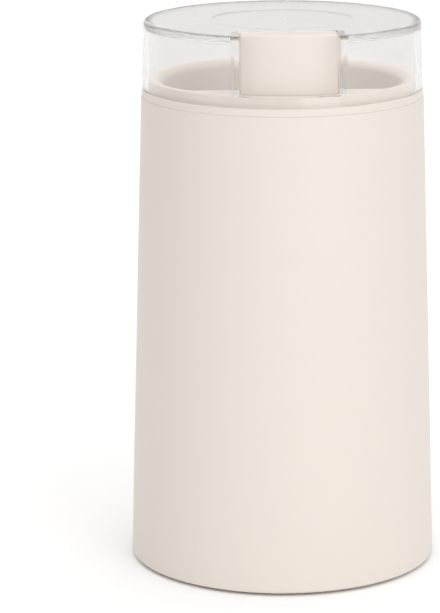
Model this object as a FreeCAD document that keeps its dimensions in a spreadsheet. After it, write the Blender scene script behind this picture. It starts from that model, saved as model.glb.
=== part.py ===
import FreeCAD, Part
import math
import os
import Sketcher

# Electric spice grinder, millimetres. The floor is z = 0, the grinder's axis is Z,
# and the push button faces -Y. Every driving size is a cell of the sheet below.

SIZES = [
    # casing
    ("foot_drop", 0.8, "how far the feet stand below the housing's rim"),
    ("base_diameter", 95.0, "housing outside, at its rim"),
    ("wall_taper", 0.0297, "radius lost for each millimetre of height"),
    ("housing_height", 145.0, "rim to the seam under the top ring"),
    ("housing_wall", 2.4, "housing wall"),
    ("housing_rim_round", 1.0, "rounding of the housing's rim"),
    ("seam_round", 0.3, "rounding beside each seam"),
    ("ledge_height", 4.0, "ledge in the housing under the deck"),
    ("deck_thickness", 2.5, "deck that carries the bowl and the motor"),
    ("deck_hole", 25.2, "hole in the deck for the seal"),
    ("ring_height", 2.3, "visible band of the top ring"),
    ("ring_setback", 0.2, "how far ring and lid lie inside the housing's cone"),
    ("spigot_depth", 4.0, "ring's spigot inside the housing"),
    ("collar_height", 3.3, "collar above the band, inside the lid"),
    ("collar_wall", 3.6, "collar, from the chamber's mouth to its outside"),
    ("mouth_round", 3.0, "rounding of the chamber's mouth"),
    ("front_wall", 2.1, "collar in front of the button"),
    ("funnel_depth", 12.4, "collar top to the bowl gasket"),
    ("fit_gap", 0.3, "clearance between parts that lift or slide"),
    # lid
    ("lid_height", 21.0, "ring to lid top"),
    ("lid_wall", 1.9, "clear wall of the lid"),
    ("lid_plate", 2.0, "clear top of the lid"),
    ("lid_round", 1.5, "rounding of the lid's top edge"),
    ("lid_rim_height", 3.3, "unbroken rim below the notch"),
    ("lid_disc_diameter", 43.7, "thinner disc under the lid's top"),
    ("lid_disc_step", 0.5, "depth of that disc"),
    ("gate_diameter", 2.4, "moulding gate mark"),
    ("pocket_wall", 2.0, "walls round the button"),
    ("pocket_lift", 0.4, "pocket walls above the collar"),
    # button
    ("button_width", 29.0, "push button, across"),
    ("button_depth", 9.6, "push button, back to face"),
    ("button_gap", 0.3, "button to its pocket and its well"),
    ("button_wall", 1.8, "wall of the hollow button"),
    ("button_travel", 3.0, "stroke of the button"),
    ("button_floor_gap", 0.1, "left under the button at the end of its stroke"),
    ("button_round", 0.8, "rounding of the button's top edges"),
    ("button_corner", 0.9, "rounding of the button's upright edges"),
    ("well_drop", 1.1, "well floor below the ring's top"),
    ("well_floor", 2.0, "floor of the button's well"),
    ("skirt_length", 6.0, "skirt below the button's block"),
    ("stem_thickness", 1.7, "skirt and stem, radially"),
    ("stem_width", 16.0, "stem, across"),
    ("stem_below_deck", 3.5, "stem's end below the deck"),
    ("spring_diameter", 4.2, "return spring, outside"),
    ("spring_wire", 0.6, "return spring wire"),
    ("spring_turns", 7.0, "return spring turns"),
    # bowl and blade
    ("gasket_height", 1.0, "rubber ring on the bowl's rim"),
    ("bowl_height", 39.8, "steel bowl, outside"),
    ("funnel_step", 3.3, "chamber's mouth to the bowl's, radially"),
    ("bowl_draft", 2.0, "bowl's mouth to its floor, radially"),
    ("bowl_sheet", 0.8, "steel sheet"),
    ("bowl_corner", 8.0, "radius of the bowl's floor corner"),
    ("bowl_flange", 1.8, "width of the bowl's rim"),
    ("seal_diameter", 17.6, "seal in the bowl's floor"),
    ("seal_height", 2.6, "seal above the bowl's floor"),
    ("blade_gap", 5.0, "blade tip to the bowl's wall"),
    ("blade_flat", 12.0, "level part of the blade, each side"),
    ("blade_width", 10.0, "blade, across"),
    ("blade_sheet", 1.2, "blade thickness"),
    ("blade_lift", 8.0, "blade above the bowl's floor"),
    ("blade_rise", 6.0, "how far the wings climb"),
    # motor
    ("shaft_diameter", 6.0, "motor shaft"),
    ("running_gap", 0.04, "shaft to bush, radially"),
    ("bush_diameter", 16.0, "sintered bush"),
    ("bush_height", 8.0, "sintered bush"),
    ("washer_sheet", 0.5, "thrust washer"),
    ("deck_boss_length", 10.9, "bosses that carry the motor"),
    ("deck_boss_diameter", 8.0, "bosses that carry the motor"),
    ("boss_clearance", 0.39, "least gap from a boss to the switch bracket"),
    ("mount_flange", 1.8, "flange of a rubber mount"),
    ("mount_neck", 9.0, "neck of a rubber mount"),
    ("mount_spacing_x", 32.0, "rubber mounts, along X"),
    ("mount_spacing_y", 38.0, "rubber mounts, along Y"),
    ("mount_screw_diameter", 3.0, "screws into bosses"),
    ("bracket_plate", 3.0, "bearing brackets"),
    ("upper_post", 10.0, "upper bracket to the stack"),
    ("lower_post", 17.0, "lower bracket to the stack"),
    ("stack_height", 24.0, "laminations"),
    ("stack_length", 62.0, "laminations along X"),
    ("stack_width", 52.0, "laminations along Y"),
    ("stack_yoke", 6.5, "yoke of the laminations"),
    ("screw_edge", 3.5, "long screws from the stack's edges"),
    ("screw_diameter", 3.5, "long motor screws"),
    ("rotor_diameter", 32.0, "armature"),
    ("rotor_slot", 3.0, "armature slot"),
    ("air_gap", 0.5, "armature to pole shoes"),
    ("coil_overhang", 5.0, "field coils past the stack"),
    ("winding_overhang", 5.0, "armature end turns past the stack"),
    ("commutator_diameter", 19.0, "commutator"),
    ("commutator_height", 10.0, "commutator"),
    ("brush_width", 5.0, "carbon brush"),
    ("brush_height", 6.0, "carbon brush"),
    ("brush_length", 10.0, "carbon brush"),
    ("brush_spring_room", 6.0, "space for a brush spring"),
    ("brush_spring_wire", 0.5, "brush spring wire"),
    ("brush_spring_turns", 5.0, "brush spring turns"),
    ("fan_diameter", 50.0, "cooling fan"),
    ("fan_height", 10.5, "cooling fan"),
    # switch
    ("switch_length", 20.0, "snap switch along X"),
    ("switch_width", 6.4, "snap switch along Y"),
    ("switch_height", 10.0, "snap switch along Z"),
    ("switch_shift", 14.5, "switch's end from the centre plane"),
    ("switch_overlap", 0.6, "switch's front past the stem's inside"),
    ("lever_sheet", 0.5, "switch lever"),
    ("lever_pin", 1.0, "lever's pin"),
    ("lever_reach", 16.0, "lever from its pin to its tip"),
    ("lever_slack", 0.3, "stem above the lever at rest"),
    ("lever_spare", 0.53, "climb left in the lever at the end of the stroke"),
    ("stem_foot", 5.0, "foot under the stem, across"),
    ("bracket_sheet", 2.4, "switch bracket"),
    ("bracket_foot", 6.6, "foot of the switch bracket along Y"),
    # base
    ("base_recess", 0.7, "base plate inside the rim"),
    ("base_thickness", 2.5, "base plate"),
    ("base_boss_diameter", 9.2, "bosses for the base screws"),
    ("foot_diameter", 10.0, "rubber foot"),
    ("foot_height", 2.4, "rubber foot"),
    ("foot_circle", 68.0, "circle of the feet"),
    ("inlet_diameter", 9.0, "hole for the lead's grommet"),
    ("inlet_bore", 6.4, "bore of the grommet"),
    ("inlet_height", 13.0, "inlet axis above the floor"),
    ("fan_room", 4.5, "fan to the parts that stand beside it"),
    ("terminal_length", 18.0, "terminal block along X"),
    ("terminal_depth", 8.5, "terminal block along Y"),
    ("terminal_height", 10.0, "terminal block along Z"),
    ("capacitor_length", 17.0, "capacitor along Y"),
    ("capacitor_depth", 7.5, "capacitor along X"),
    ("capacitor_height", 12.0, "capacitor along Z"),
]

doc = FreeCAD.newDocument("SpiceGrinder")
sheet = doc.addObject("Spreadsheet::Sheet", "Sizes")
for row, (alias, number, note) in enumerate(SIZES, start=1):
    sheet.set(f"A{row}", str(number))
    sheet.setAlias(f"A{row}", alias)
    sheet.set(f"B{row}", note)
doc.recompute()


class Size:
    """A length held as a sheet expression, with its present number beside it."""

    def __init__(self, text, value):
        self.text = text
        self.value = float(value)

    def __add__(self, other):
        other = size(other)
        return Size(f"({self.text} + {other.text})", self.value + other.value)

    def __sub__(self, other):
        other = size(other)
        return Size(f"({self.text} - {other.text})", self.value - other.value)

    def __mul__(self, other):
        other = size(other)
        return Size(f"({self.text} * {other.text})", self.value * other.value)

    def __truediv__(self, other):
        other = size(other)
        return Size(f"({self.text} / {other.text})", self.value / other.value)

    def __neg__(self):
        return Size(f"(0 - {self.text})", -self.value)

    def __radd__(self, other):
        return size(other) + self

    def __rsub__(self, other):
        return size(other) - self

    def __rmul__(self, other):
        return size(other) * self


def size(number):
    """Takes a plain number or a Size and returns a Size."""
    if isinstance(number, Size):
        return number
    return Size(repr(float(number)), number)


def cell(alias):
    return Size("Sizes." + alias, sheet.get(alias))


def root(number):
    return Size(f"sqrt({number.text})", math.sqrt(number.value))


def sorted_pair(a, b):
    a, b = size(a), size(b)
    return (a, b) if a.value < b.value else (b, a)


# Sketches and features

def new_body(label):
    body = doc.addObject("PartDesign::Body", label)
    body.Label = label
    body.AllowCompound = True
    return body


def new_sketch(body, role, offset=0.0):
    """A sketch on one of the body's own origin planes, moved along its normal."""
    plane = next(o for o in body.Origin.OriginFeatures if o.Role == role)
    sketch = body.newObject("Sketcher::SketchObject", body.Label + "_sketch")
    sketch.AttachmentSupport = [(plane, "")]
    sketch.MapMode = "FlatFace"
    offset = size(offset)
    sketch.AttachmentOffset.Base.z = offset.value
    sketch.setExpression("AttachmentOffset.Base.z", offset.text)
    return sketch


def constrain(sketch, kind, where, value):
    """Adds a dimension and ties it to its expression."""
    value = size(value)
    index = sketch.addConstraint(Sketcher.Constraint(kind, *where, value.value))
    if value.text != repr(0.0):
        sketch.setExpression(f"Constraints[{index}]", value.text)


def pin_point(sketch, geometry, end, point):
    constrain(sketch, "DistanceX", (-1, 1, geometry, end), point[0])
    constrain(sketch, "DistanceY", (-1, 1, geometry, end), point[1])


def polygon(sketch, points):
    """A closed outline whose corners are each held from the origin."""
    points = [(size(x), size(y)) for x, y in points]
    corners = [FreeCAD.Vector(x.value, y.value, 0) for x, y in points]
    first = sketch.GeometryCount
    count = len(points)
    for i in range(count):
        sketch.addGeometry(Part.LineSegment(corners[i], corners[(i + 1) % count]), False)
    for i in range(count):
        follower = first + (i + 1) % count
        sketch.addConstraint(Sketcher.Constraint("Coincident", first + i, 2, follower, 1))
    for i in range(count):
        pin_point(sketch, first + i, 1, points[i])


def rectangle(sketch, x_low, x_high, y_low, y_high):
    polygon(sketch, [(x_low, y_low), (x_high, y_low), (x_high, y_high), (x_low, y_high)])


def circle(sketch, x, y, radius):
    x, y, radius = size(x), size(y), size(radius)
    centre = FreeCAD.Vector(x.value, y.value, 0)
    index = sketch.addGeometry(Part.Circle(centre, FreeCAD.Vector(0, 0, 1), radius.value), False)
    pin_point(sketch, index, 3, (x, y))
    constrain(sketch, "Radius", (index,), radius)


def arc_about_origin(sketch, radius, half_width):
    """An arc on the -Y side, centred on the axis, from -half_width to +half_width."""
    spread = math.asin(half_width.value / radius.value)
    axis = FreeCAD.Vector(0, 0, 1)
    ring = Part.Circle(FreeCAD.Vector(0, 0, 0), axis, radius.value)
    start = 1.5 * math.pi - spread
    end = 1.5 * math.pi + spread
    index = sketch.addGeometry(Part.ArcOfCircle(ring, start, end), False)
    sketch.addConstraint(Sketcher.Constraint("Coincident", index, 3, -1, 1))
    constrain(sketch, "Radius", (index,), radius)
    constrain(sketch, "DistanceX", (-1, 1, index, 1), -half_width)
    constrain(sketch, "DistanceX", (-1, 1, index, 2), half_width)
    return index


def join_points(sketch, first, first_end, second, second_end):
    """A straight line between the ends of two arcs, tied to both."""
    a = sketch.getPoint(first, first_end)
    b = sketch.getPoint(second, second_end)
    line = sketch.addGeometry(Part.LineSegment(a, b), False)
    sketch.addConstraint(Sketcher.Constraint("Coincident", line, 1, first, first_end))
    sketch.addConstraint(Sketcher.Constraint("Coincident", line, 2, second, second_end))


def ring_sector(sketch, inner, outer, half_width):
    """The band between two radii, straight-sided at half_width, on the -Y side."""
    inner, outer, half_width = size(inner), size(outer), size(half_width)
    outside = arc_about_origin(sketch, outer, half_width)
    inside = arc_about_origin(sketch, inner, half_width)
    join_points(sketch, outside, 1, inside, 1)
    join_points(sketch, outside, 2, inside, 2)


def block_sector(sketch, back, outer, half_width):
    """A block with a flat back at y = -back and a round front at radius outer."""
    back, outer, half_width = size(back), size(outer), size(half_width)
    front = arc_about_origin(sketch, outer, half_width)
    left = FreeCAD.Vector(-half_width.value, -back.value, 0)
    right = FreeCAD.Vector(half_width.value, -back.value, 0)
    flat = sketch.addGeometry(Part.LineSegment(left, right), False)
    pin_point(sketch, flat, 1, (-half_width, -back))
    pin_point(sketch, flat, 2, (half_width, -back))
    join_points(sketch, front, 1, flat, 1)
    join_points(sketch, front, 2, flat, 2)


def finish_feature(body, feature):
    doc.recompute()
    if "Invalid" in feature.State or feature.Shape.isNull():
        raise RuntimeError(f"{body.Label}: {feature.Name} failed, {feature.getStatusString()}")
    return feature


def turned(body, points, kind="PartDesign::Revolution"):
    """Turns a closed (radius, height) outline round the Z axis, adding or cutting."""
    sketch = new_sketch(body, "XZ_Plane")
    polygon(sketch, points)
    feature = body.newObject(kind, body.Label + "_turn")
    feature.Profile = sketch
    feature.ReferenceAxis = (sketch, ["V_Axis"])
    feature.Angle = 360
    return finish_feature(body, feature)


def grooved(body, points):
    return turned(body, points, "PartDesign::Groove")


def padded(body, draw, low, high, role="XY_Plane"):
    """Pads what draw(sketch) draws, from low to high along the plane's normal."""
    sketch = new_sketch(body, role, low)
    draw(sketch)
    feature = body.newObject("PartDesign::Pad", body.Label + "_pad")
    feature.Profile = sketch
    length = size(high) - size(low)
    feature.Length = length.value
    feature.setExpression("Length", length.text)
    return finish_feature(body, feature)


def pocketed(body, draw, low, high, role="XY_Plane"):
    """Cuts what draw(sketch) draws, from low to high along the plane's normal."""
    sketch = new_sketch(body, role, high)
    draw(sketch)
    feature = body.newObject("PartDesign::Pocket", body.Label + "_pocket")
    feature.Profile = sketch
    length = size(high) - size(low)
    feature.Length = length.value
    feature.setExpression("Length", length.text)
    before = feature.BaseFeature.Shape.Volume if feature.BaseFeature else 0.0
    finish_feature(body, feature)
    if before and abs(before - feature.Shape.Volume) < 1e-3:
        raise RuntimeError(f"{body.Label}: {feature.Name} cuts nothing")
    return feature


def polar(body, features, count):
    """Repeats features round the Z axis."""
    pattern = body.newObject("PartDesign::PolarPattern", body.Label + "_ring")
    pattern.Originals = features
    axis = next(o for o in body.Origin.OriginFeatures if o.Role == "Z_Axis")
    pattern.Axis = (axis, [""])
    pattern.Angle = 360
    pattern.Occurrences = count
    body.Tip = pattern
    return finish_feature(body, pattern)


def dressed(body, radius, picks, kind="PartDesign::Fillet"):
    """Rounds, or chamfers, the edges of the present tip for which picks(edge) is true."""
    base = body.Tip
    names = [f"Edge{i}" for i, edge in enumerate(base.Shape.Edges, start=1) if picks(edge)]
    if not names:
        raise RuntimeError(f"{body.Label}: no edge to round")
    feature = body.newObject(kind, body.Label + "_round")
    feature.Base = (base, names)
    radius = size(radius)
    amount = "Radius" if kind.endswith("Fillet") else "Size"
    setattr(feature, amount, radius.value)
    feature.setExpression(amount, radius.text)
    body.Tip = feature
    return finish_feature(body, feature)


def ring_edge(radius, height):
    """Picks a circular edge about the Z axis by its radius and height."""
    radius, height = size(radius).value, size(height).value

    def picks(edge):
        curve = edge.Curve
        if not isinstance(curve, Part.Circle):
            return False
        on_axis = math.hypot(curve.Center.x, curve.Center.y) < 1e-3
        level = abs(curve.Center.z - height) < 1e-3
        return on_axis and level and abs(curve.Radius - radius) < 1e-3

    return picks


# Levels and radii that several pieces share

taper = cell("wall_taper")
gap = cell("fit_gap")
rim_z = cell("foot_drop")
housing_top = rim_z + cell("housing_height")
ring_top = housing_top + cell("ring_height")
collar_top = ring_top + cell("collar_height")
lid_top = ring_top + cell("lid_height")
gasket_top = collar_top - cell("funnel_depth")
bowl_rim_z = gasket_top - cell("gasket_height")
deck_top = bowl_rim_z - cell("bowl_height")
deck_bottom = deck_top - cell("deck_thickness")


def outer_radius(z):
    """The housing's cone at a height above the floor."""
    return cell("base_diameter") / 2 - taper * (size(z) - rim_z)


def inner_radius(z):
    return outer_radius(z) - cell("housing_wall")


def upper_radius(z):
    """The cone of the ring and the lid, a hair inside the housing's."""
    return outer_radius(z) - cell("ring_setback")


def lid_inner(z):
    return upper_radius(z) - cell("lid_wall")


collar_outer = lid_inner(collar_top) - gap
well_front = collar_outer - cell("front_wall")


def face_radius(z):
    """The button's face: it leans like the lid and stands behind the collar's front wall."""
    return well_front - cell("button_gap") - taper * (size(z) - collar_top)


button_back = face_radius(collar_top) - cell("button_depth")
button_half = cell("button_width") / 2
well_half = button_half + cell("button_gap")
well_back = button_back - cell("button_gap")
well_bottom = ring_top - cell("well_drop")
button_bottom = well_bottom + cell("button_travel") + cell("button_floor_gap")
skirt_bottom = button_bottom - cell("skirt_length")
stem_outer = face_radius(collar_top) - 0.1
stem_inner = stem_outer - cell("stem_thickness")
stem_half = cell("stem_width") / 2
slot_outer = stem_outer + gap + 0.1
slot_inner = stem_inner - gap
spring_y = -(button_back + cell("button_wall") + cell("spring_diameter") / 2 + gap)

# The chamber's mouth, the bowl and the blade fit inside one another
chamber_radius = collar_outer - cell("collar_wall")
bowl_mouth = chamber_radius - cell("funnel_step")
bowl_foot = bowl_mouth - cell("bowl_draft")
blade_half = bowl_foot - cell("blade_gap")

# The motor hangs from the deck
bush_radius = cell("bush_diameter") / 2
shaft_radius = cell("shaft_diameter") / 2
press_gap = size(0.02)
bonded_radius = shaft_radius + press_gap
boss_bottom = deck_bottom - cell("deck_boss_length")
upper_plate_top = boss_bottom - cell("mount_flange")
upper_plate_bottom = upper_plate_top - cell("bracket_plate")
mount_bottom = upper_plate_bottom - cell("mount_flange")
stack_top = upper_plate_bottom - cell("upper_post")
stack_bottom = stack_top - cell("stack_height")
lower_plate_top = stack_bottom - cell("lower_post")
lower_plate_bottom = lower_plate_top - cell("bracket_plate")
upper_bush_top = upper_plate_top + 2.2
upper_bush_bottom = upper_bush_top - cell("bush_height")
lower_bush_top = lower_plate_top + 1.0
lower_bush_bottom = lower_bush_top - cell("bush_height")
bowl_floor = deck_top + cell("bowl_sheet")
seal_top = bowl_floor + cell("seal_height")
blade_z = bowl_floor + cell("blade_lift")
blade_top = blade_z + cell("blade_sheet")
shaft_top = blade_top + 4.3
fan_bottom = lower_bush_bottom - 2.0 - cell("fan_height")
shaft_bottom = fan_bottom - 1.5
seal_bore = shaft_radius + 0.1
hub_hole = cell("deck_hole") / 2

screw_x = cell("stack_length") / 2 - cell("screw_edge")
screw_y = cell("stack_width") / 2 - cell("screw_edge")
screw_radius = cell("screw_diameter") / 2
screw_hole = screw_radius + 0.15
post_radius = cell("screw_edge") - 0.1
mount_x = cell("mount_spacing_x") / 2
mount_y = cell("mount_spacing_y") / 2
mount_screw = cell("mount_screw_diameter") / 2
tapped = mount_screw + 0.05
tapped_small = size(1.05)

rotor_radius = cell("rotor_diameter") / 2
bore_radius = rotor_radius + cell("air_gap")
shoe_radius = bore_radius + 2.9
coil_back = cell("stack_length") / 2 - cell("stack_yoke") - gap
coil_front = shoe_radius + 0.5
neck_half = size(8.0)
coil_half = bore_radius - 1.0
coil_low = stack_bottom - cell("coil_overhang")
coil_high = stack_top + cell("coil_overhang")
winding_low = stack_bottom - cell("winding_overhang")
winding_high = stack_top + cell("winding_overhang")
commutator_radius = cell("commutator_diameter") / 2
commutator_top = winding_low - gap
commutator_bottom = commutator_top - cell("commutator_height")
brush_z = (commutator_top + commutator_bottom) / 2
brush_half_y = cell("brush_width") / 2
brush_half_z = cell("brush_height") / 2
brush_tip = commutator_radius + gap
brush_back = brush_tip + cell("brush_length")
holder_front = brush_tip + 2.2
holder_back = brush_back + cell("brush_spring_room") + 1.0

# The base
base_bottom = rim_z + cell("base_recess")
base_top = base_bottom + cell("base_thickness")
base_radius = inner_radius(rim_z) - gap
base_boss = cell("base_boss_diameter") / 2
base_boss_y = inner_radius(rim_z) - base_boss + 0.4
foot_at = cell("foot_circle") / 2 * 0.7071
foot_radius = cell("foot_diameter") / 2
inlet_radius = cell("inlet_diameter") / 2
inlet_z = cell("inlet_height")
foot_top = cell("foot_height")
beside_fan = cell("fan_diameter") / 2 + cell("fan_room")

# The switch under the deck
switch_x_low = -cell("switch_shift")
switch_x_high = switch_x_low + cell("switch_length")
switch_front = -(stem_inner + cell("switch_overlap"))
switch_back = switch_front + cell("switch_width")
switch_mid = (switch_front + switch_back) / 2
stem_bottom = deck_bottom - cell("stem_below_deck")
lever_axis_x = switch_x_low + 1.6
contact_arm = cell("stem_foot") / 2 - lever_axis_x
lever_climb = cell("button_travel") - cell("lever_slack") + cell("lever_spare")
lever_slope = lever_climb / contact_arm
lever_axis_z = stem_bottom - cell("lever_slack") - cell("lever_sheet") / 2 - lever_climb
plunger_arm = size(6.5)
plunger_half = size(1.1)
plunger_x = lever_axis_x + plunger_arm
plunger_top = (
    lever_axis_z + lever_slope * (plunger_arm - plunger_half) - cell("lever_sheet") / 2 - 0.1
)
switch_top = lever_axis_z - 0.9
switch_bottom = switch_top - cell("switch_height")
bracket_back = switch_back + cell("bracket_sheet")
# the bracket's foot stops short of the deck's bosses
boss_front = -(mount_y + cell("deck_boss_diameter") / 2)
bracket_end = sorted_pair(bracket_back + cell("bracket_foot"), boss_front - cell("boss_clearance"))[0]
bracket_screw_y = (bracket_back + bracket_end) / 2 + 0.7


def four(x, y, radius):
    """Draws four circles at plus and minus x and y."""
    def draw(sketch):
        for side_x in (1, -1):
            for side_y in (1, -1):
                circle(sketch, x * side_x, y * side_y, radius)
    return draw


def two(x, y, radius):
    """Draws two circles at plus and minus x, both at y."""
    def draw(sketch):
        for side in (1, -1):
            circle(sketch, x * side, y, radius)
    return draw


def one(x, y, radius):
    return lambda sketch: circle(sketch, x, y, radius)


def box(x_low, x_high, y_low, y_high):
    return lambda sketch: rectangle(sketch, x_low, x_high, y_low, y_high)


def plate_outline(corner):
    """The laminations' rectangle with its corners cut off."""
    half_x = cell("stack_length") / 2
    half_y = cell("stack_width") / 2
    corner = size(corner)

    def draw(sketch):
        polygon(sketch, [
            (half_x, -(half_y - corner)),
            (half_x, half_y - corner),
            (half_x - corner, half_y),
            (-(half_x - corner), half_y),
            (-half_x, half_y - corner),
            (-half_x, -(half_y - corner)),
            (-(half_x - corner), -half_y),
            (half_x - corner, -half_y),
        ])
    return draw


# Casing

def make_outer_housing():
    """The tapered tube of cream plastic, with a ledge inside for the deck."""
    body = new_body("outer_housing")
    ledge_bottom = deck_bottom - cell("ledge_height")
    turned(body, [
        (outer_radius(rim_z), rim_z),
        (outer_radius(housing_top), housing_top),
        (inner_radius(housing_top), housing_top),
        (inner_radius(deck_bottom), deck_bottom),
        (slot_outer + gap, deck_bottom),
        (slot_outer + gap, deck_bottom - cell("ledge_height") / 2),
        (inner_radius(ledge_bottom), ledge_bottom),
        (inner_radius(rim_z), rim_z),
    ])
    dressed(body, cell("housing_rim_round"), ring_edge(outer_radius(rim_z), rim_z))
    dressed(body, cell("seam_round"), ring_edge(outer_radius(housing_top), housing_top))
    # bosses for the base screws, joined to the wall
    post = padded(body, one(0, -base_boss_y, base_boss), base_top, base_top + 20)
    hole = pocketed(body, one(0, -base_boss_y, tapped), base_top, base_top + 15)
    polar(body, [post, hole], 3)
    # the lead's inlet, at the back
    pocketed(
        body,
        one(0, inlet_z, inlet_radius),
        -(outer_radius(rim_z) + 1),
        -(inner_radius(inlet_z) - 3),
        "XZ_Plane",
    )


def make_motor_deck():
    """The inner deck: it stands on the housing's ledge, under the bowl, and carries the motor."""
    body = new_body("motor_deck")
    edge = inner_radius(deck_top) - gap
    turned(body, [
        (hub_hole, deck_bottom),
        (edge, deck_bottom),
        (edge, deck_top),
        (hub_hole, deck_top),
    ])
    # bosses for the rubber mounts, drilled from below
    padded(
        body,
        four(mount_x, mount_y, cell("deck_boss_diameter") / 2),
        boss_bottom,
        deck_bottom + 0.5,
    )
    pocketed(body, four(mount_x, mount_y, tapped), boss_bottom, boss_bottom + 9)
    # the stem's slot and the switch bracket's screw holes
    pocketed(
        body,
        lambda sketch: ring_sector(sketch, -switch_mid - 2.2, slot_outer, stem_half + gap),
        deck_bottom,
        deck_top,
    )
    pocketed(body, bracket_screw_circles(tapped_small), deck_bottom, deck_top)


def make_top_ring():
    """The cream ring on the housing: band, collar, chamber mouth and button well."""
    body = new_body("top_ring")
    floor_low = well_bottom - cell("well_floor")
    spigot = inner_radius(housing_top) - gap
    wall = bowl_mouth + cell("bowl_flange")
    shelf = well_back - cell("pocket_wall")
    turned(body, [
        (bowl_mouth + 0.2, gasket_top),
        (chamber_radius, collar_top),
        (collar_outer, collar_top),
        (collar_outer, ring_top),
        (upper_radius(ring_top), ring_top),
        (upper_radius(housing_top), housing_top),
        (spigot, housing_top),
        (spigot, housing_top - cell("spigot_depth")),
        (wall, housing_top - cell("spigot_depth")),
        (wall, gasket_top),
    ])
    dressed(body, cell("seam_round"), ring_edge(upper_radius(ring_top), ring_top))
    dressed(body, cell("seam_round") * 0.5, ring_edge(upper_radius(housing_top), housing_top))
    dressed(body, cell("seam_round"), ring_edge(collar_outer, collar_top))
    dressed(body, cell("mouth_round"), ring_edge(chamber_radius, collar_top))
    # the shelf round the button closes that side of the mouth
    shelf_outer = collar_outer - cell("seam_round") - 0.1
    shelf_half = root(shelf_outer * shelf_outer - shelf * shelf) - 0.4
    padded(
        body,
        lambda sketch: block_sector(sketch, shelf, shelf_outer, shelf_half),
        floor_low,
        collar_top,
    )
    # the well, its spring post and the slot for the skirt
    pocketed(
        body,
        lambda sketch: block_sector(sketch, well_back, well_front, well_half),
        well_bottom,
        collar_top,
    )
    padded(body, one(0, spring_y, cell("spring_diameter") / 2 - cell("spring_wire") - gap),
           well_bottom - 0.5, well_bottom + 8)
    pocketed(
        body,
        lambda sketch: ring_sector(sketch, slot_inner, slot_outer, well_half),
        gasket_top,
        well_bottom,
    )


def make_lid():
    """The clear lid, with its open pocket round the button."""
    body = new_body("lid")
    plate_low = lid_top - cell("lid_plate")
    disc = cell("lid_disc_diameter") / 2
    turned(body, [
        (upper_radius(ring_top), ring_top),
        (upper_radius(lid_top), lid_top),
        (0, lid_top),
        (0, plate_low),
        (lid_inner(plate_low), plate_low),
        (lid_inner(ring_top), ring_top),
    ])
    dressed(body, cell("lid_round"), ring_edge(upper_radius(lid_top), lid_top))
    dressed(body, 0.8, ring_edge(lid_inner(plate_low), plate_low))
    dressed(body, cell("seam_round"), ring_edge(upper_radius(ring_top), ring_top))
    padded(
        body,
        lambda sketch: block_sector(
            sketch,
            well_back - cell("pocket_wall"),
            upper_radius(lid_top) - cell("lid_round") + 0.2,
            well_half + cell("pocket_wall"),
        ),
        collar_top + cell("pocket_lift"),
        plate_low + 0.5,
    )
    pocketed(
        body,
        box(-well_half, well_half, -cell("base_diameter"), -well_back),
        ring_top + cell("lid_rim_height"),
        lid_top + 1,
    )
    grooved(body, [
        (0, plate_low - 1),
        (disc, plate_low - 1),
        (disc, plate_low + cell("lid_disc_step")),
        (0, plate_low + cell("lid_disc_step")),
    ])
    pocketed(body, one(0, 0, cell("gate_diameter") / 2), lid_top - 0.2, lid_top + 0.5)


def make_push_button():
    """The hollow cream block, with the skirt and stem that reach down to the switch."""
    body = new_body("push_button")
    wall = cell("button_wall")
    rise = lid_top - button_bottom
    far = cell("base_diameter")
    padded(body, box(-button_half, button_half, -far, -button_back), button_bottom, lid_top)
    grooved(body, [
        (face_radius(button_bottom - 1), button_bottom - 1),
        (face_radius(lid_top + 1), lid_top + 1),
        (far * 1.5, lid_top + 1),
        (far * 1.5, button_bottom - 1),
    ])
    # round the corners and the top, then hollow the block from below
    top = lid_top.value

    def climbs(edge):
        levels = sorted(v.Point.z for v in edge.Vertexes)
        return len(levels) == 2 and levels[1] - levels[0] > rise.value * 0.9

    def rims_the_top(edge):
        return all(abs(v.Point.z - top) < 0.2 for v in edge.Vertexes)

    dressed(body, cell("button_corner"), climbs)
    dressed(body, cell("button_round"), rims_the_top)
    pocketed(
        body,
        box(-(button_half - wall), button_half - wall, -(stem_inner - 1.2), -(button_back + wall)),
        button_bottom,
        lid_top - cell("button_wall"),
    )
    padded(
        body,
        lambda sketch: ring_sector(sketch, stem_inner, stem_outer, button_half),
        skirt_bottom,
        button_bottom,
    )
    padded(
        body,
        lambda sketch: ring_sector(sketch, stem_inner, stem_outer, stem_half),
        stem_bottom,
        skirt_bottom,
    )
    # the foot that presses the switch lever
    foot = cell("stem_foot") / 2
    padded(body, box(-foot, foot, switch_front, switch_mid + 1.5), stem_bottom, stem_bottom + 2.4)


# Bowl and blade

def make_bowl_gasket():
    body = new_body("bowl_gasket")
    turned(body, [
        (bowl_mouth + 0.3, bowl_rim_z),
        (bowl_mouth + cell("bowl_flange") - 0.1, bowl_rim_z),
        (bowl_mouth + cell("bowl_flange") - 0.1, gasket_top),
        (bowl_mouth + 0.3, gasket_top),
    ])


def make_grinding_bowl():
    """The drawn steel cup that holds the spice."""
    body = new_body("grinding_bowl")
    sheet_metal = cell("bowl_sheet")
    hole = cell("seal_diameter") / 2 + 0.1
    turned(body, [
        (hole, deck_top),
        (bowl_foot + sheet_metal, deck_top),
        (bowl_mouth + sheet_metal, bowl_rim_z - sheet_metal),
        (bowl_mouth + cell("bowl_flange"), bowl_rim_z - sheet_metal),
        (bowl_mouth + cell("bowl_flange"), bowl_rim_z),
        (bowl_mouth, bowl_rim_z),
        (bowl_foot, bowl_floor),
        (hole, bowl_floor),
    ])
    dressed(body, cell("bowl_corner") + sheet_metal, ring_edge(bowl_foot + sheet_metal, deck_top))
    dressed(body, cell("bowl_corner"), ring_edge(bowl_foot, bowl_floor))
    dressed(body, sheet_metal * 0.8, ring_edge(bowl_mouth, bowl_rim_z))


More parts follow.
